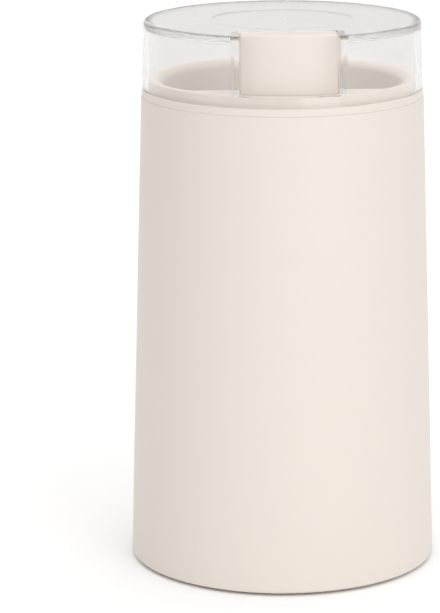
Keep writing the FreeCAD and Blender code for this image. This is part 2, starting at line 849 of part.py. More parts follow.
def make_shaft_seal():
    """The rubber seal that stands in the deck and the bowl's floor."""
    body = new_body("shaft_seal")
    turned(body, [
        (seal_bore, deck_bottom),
        (hub_hole - 0.3, deck_bottom),
        (hub_hole - 0.3, deck_top),
        (cell("seal_diameter") / 2, deck_top),
        (cell("seal_diameter") / 2, bowl_floor),
        (shaft_radius + 3.4, seal_top),
        (seal_bore, seal_top),
    ])


def make_blade_hub():
    body = new_body("blade_hub")
    turned(body, [
        (bonded_radius, seal_top + 0.5),
        (shaft_radius + 2.6, seal_top + 0.5),
        (shaft_radius + 3.2, blade_z),
        (bonded_radius, blade_z),
    ])


def make_grinding_blade():
    """A flat steel strip whose ground wings climb towards their tips."""
    body = new_body("grinding_blade")
    half = blade_half
    flat = cell("blade_flat")
    rise = cell("blade_rise")
    thick = cell("blade_sheet")
    padded(
        body,
        lambda sketch: polygon(sketch, [
            (-half, blade_z + rise),
            (-flat, blade_z),
            (flat, blade_z),
            (half, blade_z + rise),
            (half, blade_z + rise + thick),
            (flat, blade_z + thick),
            (-flat, blade_z + thick),
            (-half, blade_z + rise + thick),
        ]),
        -cell("blade_width") / 2,
        cell("blade_width") / 2,
        "XZ_Plane",
    )
    pocketed(body, one(0, 0, bonded_radius), blade_z - 1, blade_top + 1)
    # the wings narrow towards their tips, on the trailing side
    low, high = blade_z - 1, blade_top + rise + 1
    edge = cell("blade_width") / 2

    def trailing(side):
        return lambda sketch: polygon(sketch, [
            (side * flat, side * edge),
            (side * (half + 1), side * edge * 0.1),
            (side * (half + 1), side * (edge + 1)),
            (side * flat, side * (edge + 1)),
        ])

    pocketed(body, trailing(1), low, high)
    pocketed(body, trailing(-1), low, high)
    # ground cutting edges on the leading side
    reach = half.value * 0.5

    def leads(side):
        def picks(item):
            points = [v.Point for v in item.Vertexes]
            if len(points) != 2:
                return False
            outward = all(p.x * side > flat.value - 0.01 for p in points)
            front = all(abs(p.y + side * edge.value) < 1e-3 for p in points)
            long_one = abs(points[0].x - points[1].x) > reach * 0.5
            upper = min(p.z for p in points) > blade_z.value + thick.value * 0.5
            return outward and front and long_one and upper
        return picks

    dressed(body, thick * 0.7, leads(1), "PartDesign::Chamfer")
    dressed(body, thick * 0.7, leads(-1), "PartDesign::Chamfer")


def make_blade_nut():
    """The domed nut that clamps the blade."""
    body = new_body("blade_nut")
    low, high = blade_top, shaft_top + 1.4
    turned(body, [
        (bonded_radius, low),
        (shaft_radius + 2.8, low),
        (shaft_radius + 2.8, high - 2.2),
        (shaft_radius + 0.4, high),
        (0, high),
        (0, shaft_top + 0.1),
        (bonded_radius, shaft_top + 0.1),
    ])


# Motor

def make_motor_shaft():
    body = new_body("motor_shaft")
    padded(body, one(0, 0, shaft_radius), shaft_bottom, shaft_top)
    dressed(body, 0.5, ring_edge(shaft_radius, shaft_bottom), "PartDesign::Chamfer")
    dressed(body, 0.5, ring_edge(shaft_radius, shaft_top), "PartDesign::Chamfer")


def make_bush(label, low, high):
    body = new_body(label)
    bore = shaft_radius + cell("running_gap")
    turned(body, [(bore, low), (bush_radius, low), (bush_radius, high), (bore, high)])
    dressed(body, 0.8, ring_edge(bush_radius, high), "PartDesign::Chamfer")
    dressed(body, 0.8, ring_edge(bush_radius, low), "PartDesign::Chamfer")


def make_thrust_washers():
    body = new_body("thrust_washers")
    thick = cell("washer_sheet")
    for low in (lower_bush_top + 0.1, upper_bush_bottom - 0.1 - thick):
        turned(body, [
            (bonded_radius, low),
            (shaft_radius + 3, low),
            (shaft_radius + 3, low + thick),
            (bonded_radius, low + thick),
        ])


def make_upper_bracket():
    """Cast plate that holds the upper bush and hangs from the rubber mounts."""
    body = new_body("upper_bearing_bracket")
    padded(body, plate_outline(2), upper_plate_bottom, upper_plate_top)
    padded(body, one(0, 0, bush_radius + 3), upper_bush_bottom, upper_bush_top)
    padded(body, four(screw_x, screw_y, post_radius), stack_top, upper_plate_bottom)
    pocketed(body, one(0, 0, bush_radius + press_gap), upper_bush_bottom, upper_bush_top)
    pocketed(body, four(screw_x, screw_y, screw_hole), stack_top, upper_plate_top)
    pocketed(body, four(mount_x, mount_y, cell("mount_neck") / 2 + 0.1), upper_plate_bottom, upper_plate_top)
    window = cell("stack_length") / 2 - 5
    for side in (1, -1):
        pocketed(
            body,
            box(*sorted_pair(side * (bush_radius + 6), side * window), -9, 9),
            upper_plate_bottom,
            upper_plate_top,
        )


def make_lower_bracket():
    """Cast plate that holds the lower bush and the brush gear."""
    body = new_body("lower_bearing_bracket")
    padded(body, plate_outline(2), lower_plate_bottom, lower_plate_top)
    padded(body, one(0, 0, bush_radius + 3), lower_bush_bottom, lower_bush_top)
    padded(body, four(screw_x, screw_y, post_radius), lower_plate_top, stack_bottom)
    pocketed(body, one(0, 0, bush_radius + press_gap), lower_bush_bottom, lower_bush_top)
    pocketed(body, four(screw_x, screw_y, screw_hole), lower_plate_bottom, stack_bottom)
    depth = cell("stack_width") / 2 - 6
    for side in (1, -1):
        for hand in (1, -1):
            pocketed(
                body,
                box(
                    *sorted_pair(hand * 5.0, hand * 21.0),
                    *sorted_pair(side * (bush_radius + 5), side * depth),
                ),
                lower_plate_bottom,
                lower_plate_top,
            )


def make_stator_core():
    """The stack of laminations, with two poles facing the armature."""
    body = new_body("stator_core")
    cavity_x = cell("stack_length") / 2 - cell("stack_yoke")
    cavity_y = cell("stack_width") / 2 - cell("stack_yoke")
    padded(body, plate_outline(2), stack_bottom, stack_top)
    pocketed(body, box(-cavity_x, cavity_x, -cavity_y, cavity_y), stack_bottom, stack_top)
    padded(body, one(0, 0, shoe_radius), stack_bottom, stack_top)
    padded(body, box(-(cavity_x + 0.5), cavity_x + 0.5, -neck_half, neck_half), stack_bottom, stack_top)
    pocketed(body, one(0, 0, bore_radius), stack_bottom, stack_top)
    for side in (1, -1):
        pocketed(
            body,
            box(-neck_half, neck_half, *sorted_pair(side * 10.0, side * (cavity_y - 0.02))),
            stack_bottom,
            stack_top,
        )
    pocketed(body, four(screw_x, screw_y, screw_hole), stack_bottom, stack_top)


def make_field_coils():
    """Two wound coils, one round each pole."""
    body = new_body("field_coils")

    def ring(sketch):
        rectangle(sketch, -coil_half, coil_half, coil_low, coil_high)
        rectangle(sketch, -(neck_half + gap), neck_half + gap, stack_bottom - gap, stack_top + gap)

    padded(body, ring, coil_front, coil_back, "YZ_Plane")
    tall, wide = (coil_high.value, coil_low.value), coil_half.value

    def outer_corner(edge):
        points = [v.Point for v in edge.Vertexes]
        across = len(points) == 2 and abs(points[0].x - points[1].x) > 1
        return across and all(
            abs(abs(p.y) - wide) < 1e-3 and min(abs(p.z - level) for level in tall) < 1e-3
            for p in points
        )

    dressed(body, 3.5, outer_corner)
    mirror = body.newObject("PartDesign::Mirrored", "field_coils_mirror")
    mirror.TransformMode = "Whole shape"
    plane = next(o for o in body.Origin.OriginFeatures if o.Role == "YZ_Plane")
    mirror.MirrorPlane = (plane, [""])
    body.Tip = mirror
    finish_feature(body, mirror)


def make_armature_core():
    body = new_body("armature_core")
    turned(body, [
        (bonded_radius, stack_bottom),
        (rotor_radius, stack_bottom),
        (rotor_radius, stack_top),
        (bonded_radius, stack_top),
    ])
    slot = pocketed(
        body,
        box(-cell("rotor_slot") / 2, cell("rotor_slot") / 2, rotor_radius * 0.55, rotor_radius + 1),
        stack_bottom,
        stack_top,
    )
    polar(body, [slot], 12)


def make_armature_windings():
    """Copper in the armature's slots, with the end turns above and below."""
    body = new_body("armature_windings")
    inside, outside = rotor_radius * 0.5, rotor_radius - 1.5
    for low, high in ((winding_low, stack_bottom - gap), (stack_top + gap, winding_high)):
        turned(body, [(inside, low), (outside, low), (outside, high), (inside, high)])
    half = cell("rotor_slot") / 2 - 0.3
    bar = padded(
        body,
        box(-half, half, rotor_radius * 0.55 + 0.3, outside),
        stack_bottom - gap - 0.5,
        stack_top + gap + 0.5,
    )
    polar(body, [bar], 12)


def make_commutator():
    body = new_body("commutator")
    turned(body, [
        (bonded_radius, commutator_bottom),
        (commutator_radius, commutator_bottom),
        (commutator_radius, commutator_top),
        (bonded_radius, commutator_top),
    ])
    cut = pocketed(
        body,
        box(-0.3, 0.3, commutator_radius - 1.2, commutator_radius + 1),
        commutator_bottom,
        commutator_top,
    )
    polar(body, [cut], 12)


def make_brush_holders():
    """Two brass boxes on the lower bracket that guide the brushes."""
    body = new_body("brush_holders")
    play = size(0.1)
    shell = size(1.2)
    half_y = brush_half_y + play + shell
    low = brush_z - brush_half_z - play - shell
    high = brush_z + brush_half_z + play + shell
    for side in (1, -1):
        padded(
            body,
            box(*sorted_pair(side * holder_front, side * holder_back), -half_y, half_y),
            low,
            high,
        )
        padded(
            body,
            box(*sorted_pair(side * (holder_front + 4), side * (holder_back - 2)), -3, 3),
            lower_plate_top,
            low,
        )
        pocketed(
            body,
            box(
                *sorted_pair(side * (holder_front - 1), side * (holder_back - 1.0)),
                -(brush_half_y + play),
                brush_half_y + play,
            ),
            brush_z - brush_half_z - play,
            brush_z + brush_half_z + play,
        )


def make_carbon_brushes():
    body = new_body("carbon_brushes")
    for side in (1, -1):
        padded(
            body,
            box(*sorted_pair(side * brush_tip, side * brush_back), -brush_half_y, brush_half_y),
            brush_z - brush_half_z,
            brush_z + brush_half_z,
        )


def make_cooling_fan():
    body = new_body("cooling_fan")
    fan_radius = cell("fan_diameter") / 2
    fan_top = fan_bottom + cell("fan_height")
    turned(body, [
        (bonded_radius, fan_bottom),
        (fan_radius, fan_bottom),
        (fan_radius, fan_bottom + 1.2),
        (shaft_radius + 3, fan_bottom + 1.2),
        (shaft_radius + 3, fan_top),
        (bonded_radius, fan_top),
    ])
    vane = padded(body, box(-0.6, 0.6, shaft_radius + 2, fan_radius - 0.5), fan_bottom + 0.6, fan_top - 1)
    polar(body, [vane], 9)


def make_rubber_mounts():
    """Four grommets in the upper bracket, each pressed against a boss of the deck."""
    body = new_body("rubber_mounts")
    flange = cell("mount_neck") / 2 + 1.4
    padded(body, four(mount_x, mount_y, flange), mount_bottom, upper_plate_bottom)
    padded(body, four(mount_x, mount_y, cell("mount_neck") / 2), upper_plate_bottom, upper_plate_top)
    padded(body, four(mount_x, mount_y, flange), upper_plate_top, boss_bottom)
    pocketed(body, four(mount_x, mount_y, mount_screw + 0.4), mount_bottom, boss_bottom)


def make_motor_mount_screws():
    body = new_body("motor_mount_screws")
    padded(body, four(mount_x, mount_y, mount_screw), mount_bottom - 0.5, boss_bottom + 8)
    padded(body, four(mount_x, mount_y, mount_screw * 2), mount_bottom - 2, mount_bottom)
    pocketed(body, four(mount_x, mount_y, mount_screw * 0.8), mount_bottom - 2, mount_bottom - 1)


def make_motor_through_screws():
    body = new_body("motor_through_screws")
    padded(body, four(screw_x, screw_y, screw_radius), lower_plate_bottom - 0.5, upper_plate_top + 3.8)
    padded(body, four(screw_x, screw_y, screw_radius * 1.8), lower_plate_bottom - 2.4, lower_plate_bottom)
    pocketed(
        body,
        four(screw_x, screw_y, screw_radius * 0.9),
        lower_plate_bottom - 2.4,
        lower_plate_bottom - 1.2,
    )


def make_motor_nuts():
    body = new_body("motor_nuts")
    flat = screw_radius * 1.7

    def hexagons(sketch):
        for side_x in (1, -1):
            for side_y in (1, -1):
                x, y = screw_x * side_x, screw_y * side_y
                polygon(sketch, [
                    (x + flat * math.cos(turn) * 1.1547, y + flat * math.sin(turn) * 1.1547)
                    for turn in (math.radians(60 * k + 30) for k in range(6))
                ])

    padded(body, hexagons, upper_plate_top, upper_plate_top + 2.8)
    pocketed(body, four(screw_x, screw_y, screw_radius + 0.1), upper_plate_top, upper_plate_top + 2.8)


# Switch

def bracket_screw_circles(radius):
    def draw(sketch):
        circle(sketch, switch_x_low + 2.5, bracket_screw_y, radius)
        circle(sketch, switch_x_high - 2.5, bracket_screw_y, radius)
    return draw


def make_switch_bracket():
    """The angle under the deck that holds the switch."""
    body = new_body("switch_bracket")
    back = bracket_back
    padded(
        body,
        box(switch_x_low - 0.5, switch_x_high + 0.5, switch_back, back),
        switch_bottom,
        deck_bottom,
    )
    padded(
        body,
        box(switch_x_low - 0.5, switch_x_high + 0.5, back - 0.2, bracket_end),
        deck_bottom - cell("bracket_sheet"),
        deck_bottom,
    )
    pocketed(body, bracket_screw_circles(1.15), deck_bottom - cell("bracket_sheet"), deck_bottom)
    pocketed(body, switch_screw_circles(1.15), -back, -switch_back, "XZ_Plane")


def switch_screw_circles(radius):
    def draw(sketch):
        for reach in (-4.75, 4.75):
            circle(sketch, (switch_x_low + switch_x_high) / 2 + reach, switch_bottom + 2.6, radius)
    return draw


def make_microswitch():
    """The snap switch: a sealed case with ears for the lever and three tags."""
    body = new_body("microswitch")
    padded(body, box(switch_x_low, switch_x_high, switch_front, switch_back), switch_bottom, switch_top)
    # ears for the lever's pin
    for ear in (switch_mid - 2.6, switch_mid + 1.6):
        padded(
            body,
            box(lever_axis_x - 1.4, lever_axis_x + 1.4, ear, ear + 1.0),
            switch_top,
            lever_axis_z + 1.4,
        )
    pocketed(
        body,
        one(lever_axis_x, lever_axis_z, cell("lever_pin") / 2 + 0.05),
        -(switch_mid + 2.7),
        -(switch_mid - 2.7),
        "XZ_Plane",
    )
    # the plunger's hole, the screw holes and the tags
    pocketed(
        body,
        box(
            plunger_x - plunger_half - 0.1,
            plunger_x + plunger_half + 0.1,
            switch_mid - 1.5,
            switch_mid + 1.5,
        ),
        switch_top - 3.5,
        switch_top,
    )
    pocketed(body, switch_screw_circles(1.15), -switch_back, -switch_front, "XZ_Plane")
    for share in (0.12, 0.5, 0.88):
        middle = switch_x_low + cell("switch_length") * share
        padded(
            body,
            box(middle - 0.3, middle + 0.3, switch_mid - 1.6, switch_mid + 1.6),
            switch_bottom - 4,
            switch_bottom,
        )


def make_switch_plunger():
    body = new_body("switch_plunger")
    padded(
        body,
        box(plunger_x - plunger_half, plunger_x + plunger_half, switch_mid - 1.4, switch_mid + 1.4),
        switch_top - 2.0,
        plunger_top,
    )


def make_switch_lever():
    """A sprung strip that climbs from its pin to the button's foot."""
    body = new_body("switch_lever")
    pin = cell("lever_pin") / 2
    reach = cell("lever_reach")
    half = cell("lever_sheet") / 2
    climb = lever_slope * reach
    padded(
        body,
        lambda sketch: polygon(sketch, [
            (lever_axis_x, lever_axis_z - half),
            (lever_axis_x + reach, lever_axis_z + climb - half),
            (lever_axis_x + reach, lever_axis_z + climb + half),
            (lever_axis_x, lever_axis_z + half),
        ]),
        -(switch_mid + 1.4),
        -(switch_mid - 1.4),
        "XZ_Plane",
    )
    padded(
        body,
        one(lever_axis_x, lever_axis_z, pin),
        -(switch_mid + 2.6),
        -(switch_mid - 2.6),
        "XZ_Plane",
    )


def make_switch_screws():
    body = new_body("switch_screws")
    padded(
        body,
        switch_screw_circles(1.0),
        -(bracket_back - 0.2),
        -switch_front,
        "XZ_Plane",
    )
    padded(body, switch_screw_circles(1.9), -switch_front, -(switch_front - 1.2), "XZ_Plane")


def make_bracket_screws():
    body = new_body("bracket_screws")
    low = deck_bottom - cell("bracket_sheet")
    padded(body, bracket_screw_circles(1.0), low, deck_top - 0.2)
    padded(body, bracket_screw_circles(1.9), low - 1.2, low)


# Base

def make_base_plate():
    body = new_body("base_plate")
    padded(body, one(0, 0, base_radius), base_bottom, base_top)
    dressed(body, 0.4, ring_edge(base_radius, base_bottom))
    shank = pocketed(body, one(0, -base_boss_y, mount_screw + 0.2), base_bottom, base_top)
    head = pocketed(
        body, one(0, -base_boss_y, mount_screw * 2 + 0.2), base_bottom, base_bottom + 1.5
    )
    polar(body, [shank, head], 3)
    vent = pocketed(body, box(-1.2, 1.2, 11, cell("fan_diameter") / 2 - 1), base_bottom, base_top)
    polar(body, [vent], 12)
    pocketed(body, four(foot_at, foot_at, foot_radius + 0.1), base_bottom, foot_top)


def make_base_screws():
    body = new_body("base_screws")
    shank = padded(body, one(0, -base_boss_y, mount_screw), base_bottom + 1.0, base_top + 12)
    head = padded(body, one(0, -base_boss_y, mount_screw * 2), base_bottom + 0.2, base_bottom + 1.5)
    polar(body, [shank, head], 3)


def make_rubber_feet():
    body = new_body("rubber_feet")
    padded(body, four(foot_at, foot_at, foot_radius), 0, foot_top)


def make_inlet_grommet():
    """The rubber sleeve in the back wall, where a lead would pass."""
    body = new_body("inlet_grommet")
    outside = outer_radius(inlet_z) - 0.5
    flange_y = inner_radius(inlet_z) - 0.8
    padded(body, one(0, inlet_z, inlet_radius - 0.1), -outside, -(flange_y - 0.5), "XZ_Plane")
    padded(body, one(0, inlet_z, inlet_radius + 2), -flange_y, -(flange_y - 2), "XZ_Plane")
    pocketed(body, one(0, inlet_z, cell("inlet_bore") / 2), -outside, -(flange_y - 2), "XZ_Plane")


def make_terminal_block():
    body = new_body("terminal_block")
    near = beside_fan
    far = near + cell("terminal_depth")
    high = base_top + cell("terminal_height")
    half = cell("terminal_length") / 2
    padded(body, box(-half, half, near, far), base_top, high)
    pocketed(body, two(half / 2, (near + far) / 2, 1.7), base_top + 3, high)
    pocketed(body, box(-0.6, 0.6, near - 1, far + 1), base_top + 6, high)


def make_suppression_capacitor():
    body = new_body("suppression_capacitor")
    half = cell("capacitor_length") / 2
    top = base_top + cell("capacitor_height")
    padded(
        body,
        box(-(beside_fan + cell("capacitor_depth")), -beside_fan, -half, half),
        base_top,
        top,
    )
    low, high = base_top.value, top.value

    def upright(edge):
        levels = sorted(v.Point.z for v in edge.Vertexes)
        return len(levels) == 2 and abs(levels[0] - low) < 1e-3 and abs(levels[1] - high) < 1e-3

    dressed(body, 1.0, upright)


def make_spring(label, wire, outside, length, turns, base, direction):
    """A coil spring as one tube, set on its base point along a direction."""
    coil = outside.value / 2 - wire.value / 2
    rise = length.value - wire.value
    pitch = rise / turns.value
    path = Part.makeHelix(pitch, rise, coil)
    start = FreeCAD.Vector(coil, 0, 0)
    tangent = FreeCAD.Vector(0, coil * 2 * math.pi, pitch)
    section = Part.Wire(Part.makeCircle(wire.value / 2, start, tangent))
    shape = path.makePipeShell([section], True, True)
    spring = doc.addObject("Part::Feature", label)
    spring.Label = label
    spring.Shape = shape
    lifted = base + direction * (wire.value / 2)
    spring.Placement = FreeCAD.Placement(
        lifted, FreeCAD.Rotation(FreeCAD.Vector(0, 0, 1), direction)
    )
    expected = math.pi * (wire.value / 2) ** 2 * math.hypot(2 * math.pi * coil * turns.value, rise)
    print(f"{label}: volume {shape.Volume:.2f} of {expected:.2f}, gap {pitch - wire.value:.2f} mm")
    return spring


def make_button_spring():
    ceiling = lid_top - cell("button_wall")
    length = ceiling - well_bottom - 0.1
    base = FreeCAD.Vector(0, spring_y.value, well_bottom.value + 0.05)
    make_spring(
        "button_return_spring",
        cell("spring_wire"),
        cell("spring_diameter"),
        length,
        cell("spring_turns"),
        base,
        FreeCAD.Vector(0, 0, 1),
    )


def make_brush_springs():
    """Two small springs, each between a brush and the end of its holder."""
    wire, turns = cell("brush_spring_wire"), cell("brush_spring_turns")
    length = cell("brush_spring_room") - 0.1
    springs = []
    for side in (1, -1):
        base = FreeCAD.Vector(side * (brush_back.value + 0.05), 0, brush_z.value)
        springs.append(make_spring(
            "brush_spring", wire, cell("brush_width") - 0.4, length, turns, base,
            FreeCAD.Vector(side, 0, 0),
        ))
    pair = doc.addObject("Part::Compound", "brush_springs")
    pair.Label = "brush_springs"
    pair.Links = springs


def make_bushes():
    make_bush("upper_bearing_bush", upper_bush_bottom, upper_bush_top)
    make_bush("lower_bearing_bush", lower_bush_bottom, lower_bush_top)


BUILDERS = [
    make_outer_housing,
    make_motor_deck,
    make_top_ring,
    make_lid,
    make_push_button,
    make_button_spring,
    make_bowl_gasket,
    make_grinding_bowl,
    make_shaft_seal,
    make_blade_hub,
    make_grinding_blade,
    make_blade_nut,
    make_motor_shaft,
    make_bushes,
    make_thrust_washers,
    make_upper_bracket,
    make_lower_bracket,
    make_stator_core,
    make_field_coils,
    make_armature_core,
    make_armature_windings,
    make_commutator,
    make_brush_holders,
    make_carbon_brushes,
    make_brush_springs,
    make_cooling_fan,
    make_rubber_mounts,
    make_motor_mount_screws,
    make_motor_through_screws,
    make_motor_nuts,
    make_switch_bracket,
    make_bracket_screws,
    make_microswitch,
    make_switch_plunger,
    make_switch_lever,
    make_switch_screws,
    make_base_plate,
    make_base_screws,
    make_rubber_feet,
    make_inlet_grommet,
    make_terminal_block,
    make_suppression_capacitor,
]

for build in BUILDERS:
    build()

doc.recompute()
for item in doc.Objects:
    if "Invalid" in item.State or "Error" in item.State:
        raise RuntimeError(f"{item.Label} is {item.State}")

FIRST_CLASS = ("PartDesign::Body", "Part::Compound", "Part::Feature")
in_compounds = [part for item in doc.Objects if item.TypeId == "Part::Compound" for part in item.Links]
pieces = [item for item in doc.Objects if item.TypeId in FIRST_CLASS and item not in in_compounds]
for item in pieces:
    if item.Shape.isNull() or not item.Shape.isValid():
        raise RuntimeError(f"{item.Label} has no valid shape")

os.makedirs("parts", exist_ok=True)
for item in pieces:
    item.Shape.exportStep(f"parts/{item.Label}.step")
    box_now = item.Shape.optimalBoundingBox(False)
    print(f"{item.Label}: {len(item.Shape.Solids)} solids, {item.Shape.Volume:.1f} mm3, "
          f"x {box_now.XMin:.2f}..{box_now.XMax:.2f} y {box_now.YMin:.2f}..{box_now.YMax:.2f} "
          f"z {box_now.ZMin:.2f}..{box_now.ZMax:.2f}")
print(len(pieces), "nodes")
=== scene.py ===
import math

import bpy
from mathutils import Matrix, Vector


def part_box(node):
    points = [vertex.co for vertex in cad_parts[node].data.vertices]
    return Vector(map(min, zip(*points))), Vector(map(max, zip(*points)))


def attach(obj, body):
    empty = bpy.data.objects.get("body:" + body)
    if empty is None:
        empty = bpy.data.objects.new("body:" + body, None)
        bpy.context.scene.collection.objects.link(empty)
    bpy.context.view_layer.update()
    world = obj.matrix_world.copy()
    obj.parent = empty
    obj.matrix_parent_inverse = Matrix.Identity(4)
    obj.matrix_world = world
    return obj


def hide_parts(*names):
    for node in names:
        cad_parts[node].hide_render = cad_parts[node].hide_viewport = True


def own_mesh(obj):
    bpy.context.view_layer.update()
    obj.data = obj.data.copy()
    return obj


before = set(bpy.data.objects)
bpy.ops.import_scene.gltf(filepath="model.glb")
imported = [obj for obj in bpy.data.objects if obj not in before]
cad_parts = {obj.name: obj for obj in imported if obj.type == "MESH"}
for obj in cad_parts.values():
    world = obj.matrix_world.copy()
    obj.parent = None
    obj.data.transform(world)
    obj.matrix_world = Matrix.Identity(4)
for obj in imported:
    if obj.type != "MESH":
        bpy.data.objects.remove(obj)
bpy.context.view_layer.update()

bl_info = {
    "name": "Spice grinder",
    "version": (1, 0, 0),
    "blender": (4, 5, 0),
    "location": "3D view > Sidebar > Grinder",
    "description": "Finishes the packed spice grinder and sets up its studio",
    "category": "Object",
}

MM = 0.001
# Where noise turns from its first colour to its second: it seldom goes further from 0.5
NOISE_SPREAD = (0.3, 0.7)
PAPER_WHITE = 0.95
BACKDROP_WHITE = 1.05


def linear(code):
    """An sRGB hex colour as Blender's linear numbers."""
    parts = [int(code[i:i + 2], 16) / 255 for i in (0, 2, 4)]
    curve = [c / 12.92 if c <= 0.04045 else ((c + 0.055) / 1.055) ** 2.4 for c in parts]
    return (*curve, 1.0)


def colour_property(label, note, code):
    return bpy.props.FloatVectorProperty(
        name=label, description=note, subtype="COLOR", size=4, min=0, max=1, default=linear(code)
    )


class GrinderFinish(bpy.types.PropertyGroup):
    """Colours and surface sizes of the grinder's own finishes."""

    cream: colour_property("Cream ABS", "Housing, ring, button and base", "e1d8cf")
    lid_tint: colour_property("Lid", "Tint of the clear lid", "f2f1f0")
    lid_index: bpy.props.FloatProperty(
        name="Lid index", description="How far the lid bends what shows through it",
        default=1.4, min=1, max=2,
    )
    lid_haze: bpy.props.FloatProperty(
        name="Lid haze", description="Share of the light that the lid scatters", subtype="FACTOR",
        default=0.06, min=0, max=1,
    )
    steel: colour_property("Stainless steel", "Bowl and blade", "cbc9c5")
    zinc: colour_property("Zinc plate", "Screws, springs and shaft", "c9ccd0")
    copper: colour_property("Copper", "Enamelled wire and commutator", "b5683c")
    grain: bpy.props.FloatProperty(
        name="Mould grain", description="Size of the spark-eroded grain", unit="LENGTH",
        default=0.35 * MM, min=0.05 * MM, max=2 * MM,
    )
    cream_roughness: bpy.props.FloatProperty(
        name="Cream roughness", description="Satin sheen of the mouldings", subtype="FACTOR",
        default=0.42, min=0, max=1,
    )


class GrinderSpring(bpy.types.PropertyGroup):
    """The coil spring that lifts the button."""

    wire: bpy.props.FloatProperty(
        name="Wire", description="Thickness of the spring wire", unit="LENGTH", default=0.6 * MM,
        min=0.2 * MM, max=1 * MM,
    )
    turns: bpy.props.IntProperty(
        name="Turns", description="Turns of wire from end to end", default=7, min=3, max=20,
    )


class GrinderStage(bpy.types.PropertyGroup):
    """Camera, light and floor."""

    lens: bpy.props.FloatProperty(
        name="Lens", description="Focal length on a 36 mm sensor", unit="CAMERA", default=175.1,
        min=20, max=400,
    )
    distance: bpy.props.FloatProperty(
        name="Distance", description="Camera to the grinder's axis, level", unit="LENGTH",
        default=0.903, min=0.3, max=4,
    )
    height: bpy.props.FloatProperty(
        name="Height", description="Camera above the floor", unit="LENGTH", default=0.2938,
        min=0.05, max=2,
    )
    tilt: bpy.props.FloatProperty(
        name="Tilt", description="How far the camera looks down", unit="ROTATION",
        default=math.radians(13.39), min=0, max=1.2,
    )
    turn: bpy.props.FloatProperty(
        name="Turn", description="Camera to the left of the button, round the grinder",
        unit="ROTATION", default=math.radians(3.26), min=-0.5, max=0.5,
    )
    aside: bpy.props.FloatProperty(
        name="Aside", description="Turns the camera so that the grinder stands right of centre",
        unit="ROTATION", default=math.atan(62.23 / 2982), min=-0.2, max=0.2,
    )
    key: bpy.props.FloatProperty(
        name="Key light", description="Soft box to the right", unit="POWER", default=1.72, min=0,
        max=500,
    )
    key_side: bpy.props.FloatProperty(
        name="Key side", description="Soft box to the right of the button, round the grinder",
        unit="ROTATION", default=math.radians(27.7), min=-3.2, max=3.2,
    )
    key_distance: bpy.props.FloatProperty(
        name="Key distance", description="Soft box to the grinder's axis", unit="LENGTH",
        default=1.0, min=0.3, max=4,
    )
    room_front: bpy.props.FloatProperty(
        name="Room, camera side", description="Brightness of the wall behind the camera",
        default=1.04, min=0, max=5,
    )
    room_back: bpy.props.FloatProperty(
        name="Room, far side", description="Brightness of the backdrop", default=0.74, min=0, max=5,
    )
    room_left: bpy.props.FloatProperty(
        name="Room, left", description="Brightness of the left wall", default=0.06, min=0, max=5,
    )
    room_right: bpy.props.FloatProperty(
        name="Room, right", description="Brightness of the right wall", default=0.34, min=0, max=5,
    )
    room_above: bpy.props.FloatProperty(
        name="Room, ceiling", description="Brightness of the ceiling", default=1.66, min=0, max=5,
    )


def finish():
    return bpy.context.scene.grinder_finish


def add_node(tree, kind, settings=None, links=None):
    """Adds a node, sets its properties or inputs, and links its inputs."""
    node = tree.nodes.new(kind)
    for name, value in (settings or {}).items():
        if isinstance(name, str) and hasattr(node, name):
            setattr(node, name, value)
        else:
            node.inputs[name].default_value = value
    for name, source in (links or {}).items():
        tree.links.new(source, node.inputs[name])
    return node


def new_material(name, settings):
    """A material with one Principled shader; returns it, its tree and the shader."""
    material = bpy.data.materials.new(name)
    material.use_nodes = True
    tree = material.node_tree
    tree.nodes.clear()
    shader = add_node(tree, "ShaderNodeBsdfPrincipled", settings)
    add_node(tree, "ShaderNodeOutputMaterial", links={"Surface": shader.outputs[0]})
    material.diffuse_color = shader.inputs["Base Color"].default_value
    return material, tree, shader


def speckle(tree, shader, size, detail, colours, roughness, bump, stretch=(1, 1, 1)):
    """Noise of a real grain size in metres that varies colour, roughness and height."""
    place = add_node(tree, "ShaderNodeTexCoord").outputs["Object"]
    if stretch != (1, 1, 1):
        turned = add_node(tree, "ShaderNodeMapping", {"Scale": stretch}, {"Vector": place})
        place = turned.outputs[0]
    noise = add_node(
        tree, "ShaderNodeTexNoise", {"Scale": 1 / size, "Detail": detail}, {"Vector": place}
    ).outputs["Fac"]
    if colours:
        ramp = add_node(tree, "ShaderNodeValToRGB", links={"Fac": noise})
        for element, position, colour in zip(ramp.color_ramp.elements, NOISE_SPREAD, colours):
            element.position = position
            element.color = colour
        tree.links.new(ramp.outputs[0], shader.inputs["Base Color"])
    if roughness:
        spread = add_node(
            tree, "ShaderNodeMapRange", {"To Min": roughness[0], "To Max": roughness[1]},
            {"Value": noise},
        )
        tree.links.new(spread.outputs[0], shader.inputs["Roughness"])
    if bump:
        relief = add_node(
            tree, "ShaderNodeBump", {"Strength": bump[0], "Distance": bump[1]}, {"Height": noise}
        )
        tree.links.new(relief.outputs[0], shader.inputs["Normal"])


def band_scale(spacing):
    """The Wave node's scale for bands so far apart: it repeats every 2 pi / 20."""
    return math.pi / 10 / spacing


def shade(colour, share):
    """The same colour, lighter or darker."""
    return (*[min(1.0, c * share) for c in colour[:3]], 1.0)


def dress(material, *nodes):
    """Puts one material on CAD nodes."""
    for name in nodes:
        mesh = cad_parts[name].data
        mesh.materials.clear()
        mesh.materials.append(material)


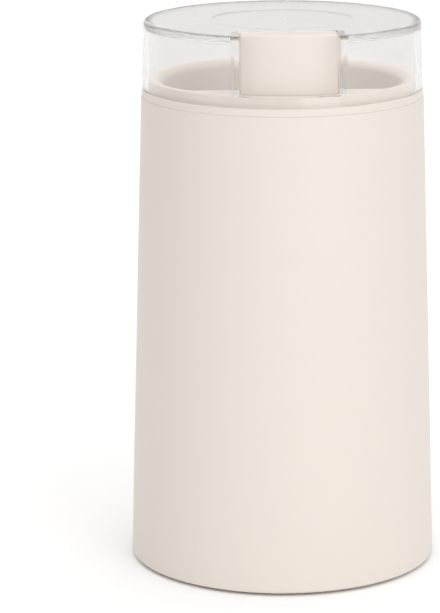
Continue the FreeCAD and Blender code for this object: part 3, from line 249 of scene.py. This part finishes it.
class GRINDER_OT_mouldings(bpy.types.Operator):
    """Satin cream ABS on the housing, ring, button and base"""

    bl_idname = "grinder.mouldings"
    bl_label = "Cream mouldings"

    def execute(self, context):
        look = finish()
        # Injection-moulded ABS from a spark-eroded tool: an even satin with a soft highlight
        material, tree, shader = new_material("cream_abs_satin", {
            "Base Color": look.cream, "Roughness": look.cream_roughness, "IOR": 1.53,
        })
        cream = tuple(look.cream)
        speckle(
            tree, shader, look.grain, 2.0, (shade(cream, 0.99), shade(cream, 1.01)),
            (look.cream_roughness - 0.03, look.cream_roughness + 0.05), (0.06, 0.05 * MM),
        )
        dress(material, "outer_housing", "top_ring", "push_button", "base_plate")
        return {"FINISHED"}


class GRINDER_OT_lid(bpy.types.Operator):
    """Clear polished plastic on the lid"""

    bl_idname = "grinder.lid"
    bl_label = "Clear lid"

    def execute(self, context):
        look = finish()
        # Polished styrene-acrylonitrile: clear, with a trace of milk and soft grey edges
        material, tree, shader = new_material("clear_san_polished", {
            "Base Color": look.lid_tint, "Roughness": 0.02, "IOR": look.lid_index,
            "Transmission Weight": 1 - look.lid_haze,
        })
        speckle(tree, shader, 14 * MM, 1.0, None, None, (0.03, 0.2 * MM))
        # Lamps shine straight through, as if so thin a wall didn't bend their light
        clear = add_node(tree, "ShaderNodeBsdfTransparent", {"Color": (1, 1, 1, 1)})
        path = add_node(tree, "ShaderNodeLightPath")
        mix = add_node(tree, "ShaderNodeMixShader", links={
            0: path.outputs["Is Shadow Ray"], 1: shader.outputs[0], 2: clear.outputs[0],
        })
        output = next(node for node in tree.nodes if node.type == "OUTPUT_MATERIAL")
        tree.links.new(mix.outputs[0], output.inputs["Surface"])
        dress(material, "lid")
        return {"FINISHED"}


class GRINDER_OT_steel(bpy.types.Operator):
    """Brushed stainless steel on the bowl, blade and nut"""

    bl_idname = "grinder.steel"
    bl_label = "Bowl and blade"

    def execute(self, context):
        steel = tuple(finish().steel)
        # Drawn stainless steel, polished while it turns: fine lines run round the axis
        material, tree, shader = new_material("stainless_spun", {
            "Base Color": steel, "Metallic": 1.0, "Roughness": 0.26,
        })
        place = add_node(tree, "ShaderNodeTexCoord").outputs["Object"]
        split = add_node(tree, "ShaderNodeSeparateXYZ", links={"Vector": place})
        flat = add_node(tree, "ShaderNodeCombineXYZ", links={
            "X": split.outputs[0], "Y": split.outputs[1],
        })
        radius = add_node(
            tree, "ShaderNodeVectorMath", {"operation": "LENGTH"}, {0: flat.outputs[0]}
        )
        angle = add_node(
            tree, "ShaderNodeMath", {"operation": "ARCTAN2"},
            {0: split.outputs[1], 1: split.outputs[0]},
        )
        # A radian counts as 1.2 mm only, so each line runs far round the axis
        radian = 1.2 * MM
        slow = add_node(
            tree, "ShaderNodeMath", {"operation": "MULTIPLY", 1: radian}, {0: angle.outputs[0]}
        )
        lines = add_node(tree, "ShaderNodeCombineXYZ", links={
            "X": radius.outputs["Value"], "Y": slow.outputs[0], "Z": split.outputs[2],
        })
        # Lines 0.25 mm apart, drawn coarser than the real 0.05 mm so that they show
        apart = 0.25 * MM
        noise = add_node(
            tree, "ShaderNodeTexNoise", {"Scale": 1 / apart, "Detail": 3.0},
            {"Vector": lines.outputs[0]},
        ).outputs["Fac"]
        spread = add_node(
            tree, "ShaderNodeMapRange", {"To Min": 0.2, "To Max": 0.36}, {"Value": noise}
        )
        tree.links.new(spread.outputs[0], shader.inputs["Roughness"])
        relief = add_node(
            tree, "ShaderNodeBump", {"Strength": 0.12, "Distance": 0.02 * MM}, {"Height": noise}
        )
        tree.links.new(relief.outputs[0], shader.inputs["Normal"])
        dress(material, "grinding_bowl", "blade_nut")
        # Blade strip: ground along its length
        material, tree, shader = new_material("stainless_ground", {
            "Base Color": shade(steel, 0.95), "Metallic": 1.0, "Roughness": 0.24,
        })
        speckle(tree, shader, 0.3 * MM, 3.0, None, (0.16, 0.32), (0.1, 0.02 * MM), (0.05, 1, 1))
        dress(material, "grinding_blade")
        return {"FINISHED"}


class GRINDER_OT_metalwork(bpy.types.Operator):
    """Zinc plate, castings, laminations, bronze, copper and brass of the motor"""

    bl_idname = "grinder.metalwork"
    bl_label = "Motor metalwork"

    def execute(self, context):
        look = finish()
        zinc, copper = tuple(look.zinc), tuple(look.copper)
        # Bright zinc on steel: blue-white and a little cloudy
        material, tree, shader = new_material("zinc_plate", {
            "Base Color": zinc, "Metallic": 1.0, "Roughness": 0.25,
        })
        speckle(tree, shader, 1.5 * MM, 4.0, (shade(zinc, 0.86), zinc), (0.2, 0.34), None)
        dress(
            material, "base_screws", "brush_springs", "button_return_spring", "motor_shaft",
            "motor_mount_screws", "motor_through_screws", "motor_nuts", "bracket_screws",
            "switch_screws", "switch_lever",
        )
        # Pressure die-cast aluminium: dull, with a grit of about 0.4 mm
        material, tree, shader = new_material("aluminium_die_cast", {
            "Base Color": linear("b4b6b8"), "Metallic": 1.0, "Roughness": 0.5,
        })
        speckle(
            tree, shader, 0.4 * MM, 4.0, (linear("a3a5a7"), linear("bcbec0")), (0.42, 0.6),
            (0.3, 0.05 * MM),
        )
        dress(material, "upper_bearing_bracket", "lower_bearing_bracket")
        # Stamped silicon steel in 0.5 mm sheets under a thin varnish: fine level lines
        material, tree, shader = new_material("laminations_varnished", {
            "Base Color": linear("4b4a4c"), "Metallic": 0.7, "Roughness": 0.42,
        })
        place = add_node(tree, "ShaderNodeTexCoord").outputs["Object"]
        sheet = 0.5 * MM
        sheets = add_node(
            tree, "ShaderNodeTexWave",
            {"bands_direction": "Z", "Scale": band_scale(sheet), "Distortion": 0.0},
            {"Vector": place},
        ).outputs["Fac"]
        bands = add_node(tree, "ShaderNodeValToRGB", links={"Fac": sheets})
        bands.color_ramp.elements[0].color = linear("2c2b2d")
        bands.color_ramp.elements[1].color = linear("59585a")
        bands.color_ramp.elements[1].position = 0.35
        tree.links.new(bands.outputs[0], shader.inputs["Base Color"])
        relief = add_node(
            tree, "ShaderNodeBump", {"Strength": 0.3, "Distance": 0.05 * MM}, {"Height": sheets}
        )
        tree.links.new(relief.outputs[0], shader.inputs["Normal"])
        dress(material, "stator_core", "armature_core")
        # Sintered bronze soaked in oil: matt brown with open pores of about 0.25 mm
        material, tree, shader = new_material("bronze_sintered", {
            "Base Color": linear("9a7448"), "Metallic": 1.0, "Roughness": 0.48,
        })
        speckle(
            tree, shader, 0.25 * MM, 5.0, (linear("7d5b36"), linear("a98354")), (0.4, 0.62),
            (0.3, 0.04 * MM),
        )
        dress(material, "upper_bearing_bush", "lower_bearing_bush")
        # Commutator bars: drawn copper, turned true
        material, tree, shader = new_material("copper_turned", {
            "Base Color": copper, "Metallic": 1.0, "Roughness": 0.26,
        })
        speckle(
            tree, shader, 0.2 * MM, 2.0, (shade(copper, 0.85), shade(copper, 1.05)), (0.2, 0.36),
            (0.1, 0.02 * MM), (0.1, 0.1, 1),
        )
        dress(material, "commutator")
        # Stamped brass, tumbled
        material, tree, shader = new_material("brass_stamped", {
            "Base Color": linear("c9a35c"), "Metallic": 1.0, "Roughness": 0.3,
        })
        speckle(tree, shader, 2 * MM, 4.0, (linear("b38d49"), linear("cfaa64")), (0.24, 0.4), None)
        dress(material, "brush_holders")
        return {"FINISHED"}


class GRINDER_OT_return_spring(bpy.types.Operator):
    """Coil spring under the button, as long as the packed spring"""

    bl_idname = "grinder.return_spring"
    bl_label = "Return spring"

    def execute(self, context):
        size = context.scene.grinder_spring
        low, high = (Vector(corner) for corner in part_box("button_return_spring"))
        middle = (low + high) / 2
        height = high.z - low.z
        coil_radius = (high.x - low.x - size.wire) / 2
        wire_sides = 16
        turn_sides = 32
        bpy.ops.object.select_all(action="DESELECT")
        bpy.ops.mesh.primitive_circle_add(
            vertices=wire_sides, radius=size.wire / 2, location=(coil_radius, 0, 0),
            rotation=(math.pi / 2, 0, 0),
        )
        spring = bpy.context.object
        spring.name = "return_spring_coil"
        bpy.ops.object.transform_apply(location=True, rotation=True, scale=True)
        coil = spring.modifiers.new("coil", "SCREW")
        coil.angle = 2 * math.pi
        coil.steps = turn_sides
        coil.render_steps = turn_sides
        coil.iterations = size.turns
        coil.screw_offset = (height - size.wire) / size.turns
        bpy.ops.object.modifier_apply(modifier=coil.name)
        bpy.ops.object.mode_set(mode="EDIT")
        bpy.ops.mesh.select_all(action="SELECT")
        bpy.ops.mesh.remove_doubles(threshold=0.001 * MM)
        bpy.ops.mesh.fill_holes(sides=0)
        bpy.ops.mesh.select_all(action="SELECT")
        bpy.ops.mesh.normals_make_consistent(inside=False)
        bpy.ops.object.mode_set(mode="OBJECT")
        bpy.ops.transform.translate(value=(middle.x, middle.y, low.z + size.wire / 2))
        bpy.ops.object.transform_apply(location=True, rotation=True, scale=True)
        bpy.ops.object.shade_smooth()
        spring.data.materials.append(bpy.data.materials["zinc_plate"])
        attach(spring, "casing")
        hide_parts("button_return_spring")
        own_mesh(spring)
        return {"FINISHED"}


class GRINDER_OT_windings(bpy.types.Operator):
    """Enamelled copper wire on the field coils and the armature"""

    bl_idname = "grinder.windings"
    bl_label = "Windings"

    def execute(self, context):
        copper = tuple(finish().copper)
        wire = 0.45 * MM
        for name, run, nodes in (
            ("copper_wire_field", {"bands_direction": "X"}, ("field_coils",)),
            (
                "copper_wire_armature", {"wave_type": "RINGS", "rings_direction": "Z"},
                ("armature_windings",),
            ),
        ):
            # Enamelled wire, 0.45 mm: round ridges side by side under a glossy varnish
            material, tree, shader = new_material(name, {
                "Base Color": copper, "Metallic": 0.85, "Roughness": 0.3, "Coat Weight": 0.6,
                "Coat Roughness": 0.15,
            })
            place = add_node(tree, "ShaderNodeTexCoord").outputs["Object"]
            ridges = add_node(
                tree, "ShaderNodeTexWave",
                {
                    **run, "Scale": band_scale(wire), "Distortion": 0.6, "Detail": 1.0,
                    "Detail Scale": 0.4,
                },
                {"Vector": place},
            ).outputs["Fac"]
            # Painted shade: the copper darkens to about a third in the valleys between the ridges,
            # where the round wires shade each other
            tone = add_node(tree, "ShaderNodeValToRGB", links={"Fac": ridges})
            tone.color_ramp.elements[0].color = shade(copper, 0.35)
            tone.color_ramp.elements[1].color = copper
            tone.color_ramp.elements[1].position = 0.5
            tree.links.new(tone.outputs[0], shader.inputs["Base Color"])
            relief = add_node(
                tree, "ShaderNodeBump", {"Strength": 0.8, "Distance": wire / 2}, {"Height": ridges}
            )
            tree.links.new(relief.outputs[0], shader.inputs["Normal"])
            dress(material, *nodes)
        return {"FINISHED"}


class GRINDER_OT_rubber(bpy.types.Operator):
    """Rubber of the seal, gasket, mounts, feet and grommet"""

    bl_idname = "grinder.rubber"
    bl_label = "Rubber parts"

    def execute(self, context):
        for name, code, nodes in (
            # Moulded nitrile: matt black, with a dusty bloom
            ("nitrile_black", "262626", ("shaft_seal", "rubber_mounts")),
            # Moulded silicone: warm grey, soft sheen
            ("silicone_grey", "a39f99", ("bowl_gasket", "rubber_feet", "inlet_grommet")),
        ):
            tone = linear(code)
            material, tree, shader = new_material(name, {
                "Base Color": tone, "Roughness": 0.7, "IOR": 1.45,
            })
            speckle(
                tree, shader, 0.5 * MM, 4.0, (shade(tone, 0.88), shade(tone, 1.12)), (0.6, 0.8),
                (0.15, 0.03 * MM),
            )
            dress(material, *nodes)
        return {"FINISHED"}


class GRINDER_OT_plastics(bpy.types.Operator):
    """Inner plastic parts, carbon brushes and capacitor"""

    bl_idname = "grinder.plastics"
    bl_label = "Inner plastics"

    def execute(self, context):
        for name, code, roughness, grain, nodes in (
            # Glass-filled nylon: dull grey with short fibres at its skin
            ("nylon_glass_filled", "9e9d9a", 0.55, 0.5 * MM, ("motor_deck",)),
            # Natural nylon: milky white with a waxy sheen
            ("nylon_natural", "dedcd4", 0.38, 0.6 * MM, (
                "thrust_washers", "cooling_fan", "switch_bracket", "switch_plunger",
                "terminal_block",
            )),
            # Moulded thermoset: near black, slightly glossy
            ("thermoset_black", "2b2b2c", 0.35, 0.4 * MM, ("microswitch", "blade_hub")),
            # Wound polyester film dipped in resin: ochre and shiny
            ("polyester_ochre", "c2982f", 0.3, 1.0 * MM, ("suppression_capacitor",)),
            # Pressed carbon and graphite: black, dull, a little greasy
            ("carbon_pressed", "303031", 0.55, 0.2 * MM, ("carbon_brushes",)),
        ):
            tone = linear(code)
            material, tree, shader = new_material(name, {
                "Base Color": tone, "Roughness": roughness, "IOR": 1.52,
            })
            speckle(
                tree, shader, grain, 3.0, (shade(tone, 0.94), shade(tone, 1.04)),
                (roughness - 0.05, roughness + 0.07), (0.08, 0.03 * MM),
            )
            dress(material, *nodes)
        return {"FINISHED"}


def face_towards(obj, target):
    """Turns a light so that it shines at a point."""
    obj.rotation_euler = (Vector(target) - obj.location).to_track_quat("-Z", "Y").to_euler()


def add_light(name, kind, place, target, power):
    data = bpy.data.lights.new(name, kind)
    data.energy = power
    light = bpy.data.objects.new(name, data)
    bpy.context.scene.collection.objects.link(light)
    light.location = place
    face_towards(light, target)
    return data


class GRINDER_OT_stage(bpy.types.Operator):
    """Camera, floor and studio light"""

    bl_idname = "grinder.stage"
    bl_label = "Stage"

    def execute(self, context):
        setup = context.scene.grinder_stage
        self.camera(context, setup)
        self.floor()
        self.light(setup)
        self.room(context.scene, setup)
        return {"FINISHED"}

    def camera(self, context, setup):
        data = bpy.data.cameras.new("photo_camera")
        data.lens = setup.lens
        data.sensor_width = 36.0
        data.clip_start = 0.05
        data.clip_end = 50.0
        camera = bpy.data.objects.new("photo_camera", data)
        context.scene.collection.objects.link(camera)
        camera.location = (
            -setup.distance * math.sin(setup.turn),
            -setup.distance * math.cos(setup.turn),
            setup.height,
        )
        camera.rotation_mode = "YXZ"
        camera.rotation_euler = (math.pi / 2 - setup.tilt, setup.aside, -setup.turn)
        context.scene.camera = camera

    def floor(self):
        bpy.ops.object.select_all(action="DESELECT")
        far_edge = 5.0
        bpy.ops.mesh.primitive_circle_add(vertices=96, radius=far_edge, fill_type="NGON")
        floor = bpy.context.object
        floor.name = "studio_floor"
        # Matt white paper: even, no gloss
        paper = (PAPER_WHITE, PAPER_WHITE, PAPER_WHITE, 1.0)
        material, tree, shader = new_material("paper_white", {
            "Base Color": paper, "Roughness": 0.9, "Specular IOR Level": 0.1,
        })
        speckle(tree, shader, 4 * MM, 2.0, (shade(paper, 0.995), paper), None, None)
        floor.data.materials.append(material)

    def light(self, setup):
        box_width = 0.56
        box_height = 0.9
        above_floor = 0.01
        middle = box_height / 2 + above_floor
        key = add_light(
            "key_softbox", "AREA",
            (
                setup.key_distance * math.sin(setup.key_side),
                -setup.key_distance * math.cos(setup.key_side),
                middle,
            ),
            (0, 0, middle),
            setup.key,
        )
        key.shape = "RECTANGLE"
        key.size = box_width
        key.size_y = box_height

    def room(self, scene, setup):
        world = bpy.data.worlds.new("studio_room")
        scene.world = world
        world.use_nodes = True
        tree = world.node_tree
        tree.nodes.clear()
        way = add_node(tree, "ShaderNodeTexCoord").outputs["Generated"]
        # Each wall fades into the next as the squares of the direction's parts, which add up to 1
        total = None
        for side, brightness in (
            ((0, -1, 0), setup.room_front), ((0, 1, 0), setup.room_back),
            ((-1, 0, 0), setup.room_left), ((1, 0, 0), setup.room_right),
            ((0, 0, 1), setup.room_above),
        ):
            part = add_node(
                tree, "ShaderNodeVectorMath", {"operation": "DOT_PRODUCT", 1: side}, {0: way}
            ).outputs["Value"]
            facing = add_node(tree, "ShaderNodeMath", {"operation": "MAXIMUM", 1: 0.0}, {0: part})
            square = add_node(
                tree, "ShaderNodeMath", {"operation": "POWER", 1: 2.0}, {0: facing.outputs[0]}
            )
            wall = add_node(
                tree, "ShaderNodeMath", {"operation": "MULTIPLY", 1: brightness},
                {0: square.outputs[0]},
            )
            if total:
                wall = add_node(
                    tree, "ShaderNodeMath", {"operation": "ADD"},
                    {0: total.outputs[0], 1: wall.outputs[0]},
                )
            total = wall
        walls = add_node(
            tree, "ShaderNodeBackground", {"Color": (1, 1, 1, 1)}, {"Strength": total.outputs[0]}
        )
        white = add_node(
            tree, "ShaderNodeBackground", {"Color": (1, 1, 1, 1), "Strength": BACKDROP_WHITE}
        )
        seen = add_node(tree, "ShaderNodeLightPath")
        mix = add_node(tree, "ShaderNodeMixShader", links={
            0: seen.outputs["Is Camera Ray"], 1: walls.outputs[0], 2: white.outputs[0],
        })
        add_node(tree, "ShaderNodeOutputWorld", links={"Surface": mix.outputs[0]})
        scene.view_settings.view_transform = "Standard"
        scene.view_settings.look = "None"
        # Clear plastic needs many bounces, and blurred reflections would darken what it holds
        scene.cycles.max_bounces = 32
        scene.cycles.diffuse_bounces = 8
        scene.cycles.glossy_bounces = 16
        scene.cycles.transmission_bounces = 24
        scene.cycles.blur_glossy = 0.0


class GRINDER_PT_panel(bpy.types.Panel):
    """The grinder's settings and steps"""

    bl_idname = "GRINDER_PT_panel"
    bl_label = "Spice grinder"
    bl_space_type = "VIEW_3D"
    bl_region_type = "UI"
    bl_category = "Grinder"

    def draw(self, context):
        scene = context.scene
        for group in (scene.grinder_finish, scene.grinder_spring, scene.grinder_stage):
            box = self.layout.box()
            for name in group.__annotations__:
                box.prop(group, name)
        for step in STEPS:
            self.layout.operator(step.bl_idname)


STEPS = (
    GRINDER_OT_mouldings,
    GRINDER_OT_lid,
    GRINDER_OT_steel,
    GRINDER_OT_metalwork,
    GRINDER_OT_return_spring,
    GRINDER_OT_windings,
    GRINDER_OT_rubber,
    GRINDER_OT_plastics,
    GRINDER_OT_stage,
)
CLASSES = (GrinderFinish, GrinderSpring, GrinderStage, *STEPS, GRINDER_PT_panel)


def register():
    for item in CLASSES:
        bpy.utils.register_class(item)
    bpy.types.Scene.grinder_finish = bpy.props.PointerProperty(type=GrinderFinish)
    bpy.types.Scene.grinder_spring = bpy.props.PointerProperty(type=GrinderSpring)
    bpy.types.Scene.grinder_stage = bpy.props.PointerProperty(type=GrinderStage)


def unregister():
    del bpy.types.Scene.grinder_stage
    del bpy.types.Scene.grinder_spring
    del bpy.types.Scene.grinder_finish
    for item in reversed(CLASSES):
        bpy.utils.unregister_class(item)


def main():
    register()
    for step in STEPS:
        group, name = step.bl_idname.split(".")
        getattr(getattr(bpy.ops, group), name)()


if __name__ == "__main__":
    main()
